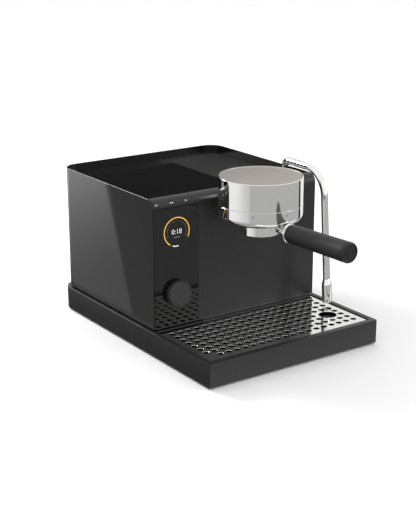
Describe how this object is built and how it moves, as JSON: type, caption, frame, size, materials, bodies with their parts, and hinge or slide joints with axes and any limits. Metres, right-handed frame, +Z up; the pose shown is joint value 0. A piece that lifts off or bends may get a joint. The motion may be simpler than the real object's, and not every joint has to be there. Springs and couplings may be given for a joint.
{
  "type": "portafilter espresso machine",
  "caption": "Countertop espresso machine with a round chrome group head, a portafilter, a steam wand, a drip tray with a grate and a lift-out water tank.",
  "frame": {"origin": "middle of the outer box in plan, at the underside of the feet", "axes": "+Z up, +Y to the machine's back, +X to its right as its user faces it"},
  "size_m": [0.3304, 0.5652, 0.2858],
  "materials": {
    "base_plate": "zinc plated",
    "base_shell": "fine texture",
    "boiler": "brushed",
    "casing_screw_left": "zinc plated",
    "casing_screw_right": "zinc plated",
    "casing_seal": "matt",
    "casing_shell": "satin powder coat",
    "chassis_plate": "zinc plated",
    "control_frame": "plain moulded",
    "control_knob": "soft satin",
    "cup_plate": "dark brushed",
    "deck_frame": "plain moulded",
    "display_module": "black printed back, polished front",
    "drip_grate": "brushed",
    "drip_tray": "fine texture",
    "feed_hose": "silicone",
    "filter_basket": "brushed",
    "float_post": "fine texture",
    "foot_front_left": "matt",
    "foot_front_right": "matt",
    "foot_rear_left": "matt",
    "foot_rear_right": "matt",
    "front_panel": "satin powder coat",
    "glass_panel": "black printed back, polished front",
    "group_body": "machined",
    "group_cap": "brushed",
    "group_gasket": "matt",
    "group_housing": "mirror",
    "group_neck": "machined",
    "group_skirt": "mirror",
    "handle_collar": "mirror",
    "handle_end_cap": "soft satin",
    "handle_grip": "soft satin",
    "key_board": "circuit board",
    "key_left": "fine texture",
    "key_middle": "fine texture",
    "key_right": "fine texture",
    "knob_encoder": "zinc plated",
    "knob_shaft": "zinc plated",
    "main_board": "circuit board",
    "portafilter_body": "mirror",
    "power_board": "circuit board",
    "power_inlet": "fine texture",
    "pump": "zinc plated",
    "pump_bracket": "matt",
    "screen_screw": "zinc plated",
    "shower_screen": "brushed",
    "solenoid_valve": "machined",
    "steam_heater": "zinc plated",
    "steam_hose": "silicone",
    "tank_hose": "silicone",
    "tank_lid": "satin powder coat",
    "tank_seat": "fine texture",
    "tank_valve": "fine texture",
    "tray_float": "fine texture",
    "wand_socket": "mirror",
    "wand_tip": "mirror",
    "wand_tube": "mirror",
    "water_tank": "clear"
  },
  "bodies": {
    "machine": {"base_shell": "base_shell", "casing_seal": "casing_seal", "base_plate": "base_plate", "foot_front_left": "foot_front_left", "foot_front_right": "foot_front_right", "foot_rear_left": "foot_rear_left", "foot_rear_right": "foot_rear_right", "casing_shell": "casing_shell", "front_panel": "front_panel", "glass_panel": "glass_panel", "control_frame": "control_frame", "display_module": "display_module", "key_board": "key_board", "knob_encoder": "knob_encoder", "deck_frame": "deck_frame", "cup_plate": "cup_plate", "tank_seat": "tank_seat", "pump": "pump", "pump_bracket": "pump_bracket", "boiler": "boiler", "steam_heater": "steam_heater", "solenoid_valve": "solenoid_valve", "chassis_plate": "chassis_plate", "tank_hose": "tank_hose", "feed_hose": "feed_hose", "steam_hose": "steam_hose", "main_board": "main_board", "power_board": "power_board", "power_inlet": "power_inlet", "casing_screw_left": "casing_screw_left", "casing_screw_right": "casing_screw_right", "group_housing": "group_housing", "group_cap": "group_cap", "group_skirt": "group_skirt", "group_neck": "group_neck", "group_body": "group_body", "group_gasket": "group_gasket", "shower_screen": "shower_screen", "screen_screw": "screen_screw", "wand_socket": "wand_socket"},
    "tray": {"drip_tray": "drip_tray", "float_post": "float_post"},
    "grate": {"drip_grate": "drip_grate"},
    "float": {"tray_float": "tray_float"},
    "left_key": {"key_left": "key_left"},
    "middle_key": {"key_middle": "key_middle"},
    "right_key": {"key_right": "key_right"},
    "knob_stem": {"knob_shaft": "knob_shaft"},
    "knob": {"control_knob": "control_knob"},
    "tank": {"water_tank": "water_tank", "tank_valve": "tank_valve"},
    "lid": {"tank_lid": "tank_lid"},
    "portafilter": {"portafilter_body": "portafilter_body", "filter_basket": "filter_basket", "handle_collar": "handle_collar", "handle_grip": "handle_grip", "handle_end_cap": "handle_end_cap"},
    "wand": {"wand_tube": "wand_tube", "wand_tip": "wand_tip"}
  },
  "joints": [
    {"name": "tray_slide", "type": "slide", "parent": "machine", "child": "tray", "axis": [0, -1, 0], "range_m": [0, 0.166]},
    {"name": "grate_lift", "type": "slide", "parent": "tray", "child": "grate", "axis": [0, 0, 1], "range_m": [0, 0.004]},
    {"name": "float_rise", "type": "slide", "parent": "tray", "child": "float", "axis": [0, 0, 1], "range_m": [0, 0.008]},
    {"name": "left_key_push", "type": "slide", "parent": "machine", "child": "left_key", "axis": [0, 0.891, -0.454], "range_m": [0, 0.0006], "stiffness_N_per_m": 800},
    {"name": "middle_key_push", "type": "slide", "parent": "machine", "child": "middle_key", "axis": [0, 0.891, -0.454], "range_m": [0, 0.0006], "stiffness_N_per_m": 800},
    {"name": "right_key_push", "type": "slide", "parent": "machine", "child": "right_key", "axis": [0, 0.891, -0.454], "range_m": [0, 0.0006], "stiffness_N_per_m": 800},
    {"name": "knob_push", "type": "slide", "parent": "machine", "child": "knob_stem", "axis": [0, 1, 0], "range_m": [0, 0.0007], "stiffness_N_per_m": 1000},
    {"name": "knob_turn", "type": "hinge", "parent": "knob_stem", "child": "knob", "pos_m": [-0.1168, -0.022, 0.0988], "axis": [0, 1, 0], "continuous": true},
    {"name": "tank_lift", "type": "slide", "parent": "machine", "child": "tank", "axis": [0, 0, 1], "range_m": [0, 0.19]},
    {"name": "lid_lift", "type": "slide", "parent": "tank", "child": "lid", "axis": [0, 0, 1], "range_m": [0, 0.05]},
    {"name": "portafilter_turn", "type": "hinge", "parent": "machine", "child": "portafilter", "pos_m": [-0.0059, -0.0835, 0.2275], "axis": [0, 0, 1], "range_deg": [-50.2, 0]},
    {"name": "wand_swing", "type": "hinge", "parent": "machine", "child": "wand", "pos_m": [0.147, 0.0487, 0.243], "axis": [0, 0, 1], "range_deg": [-30, 60]}
  ]
}
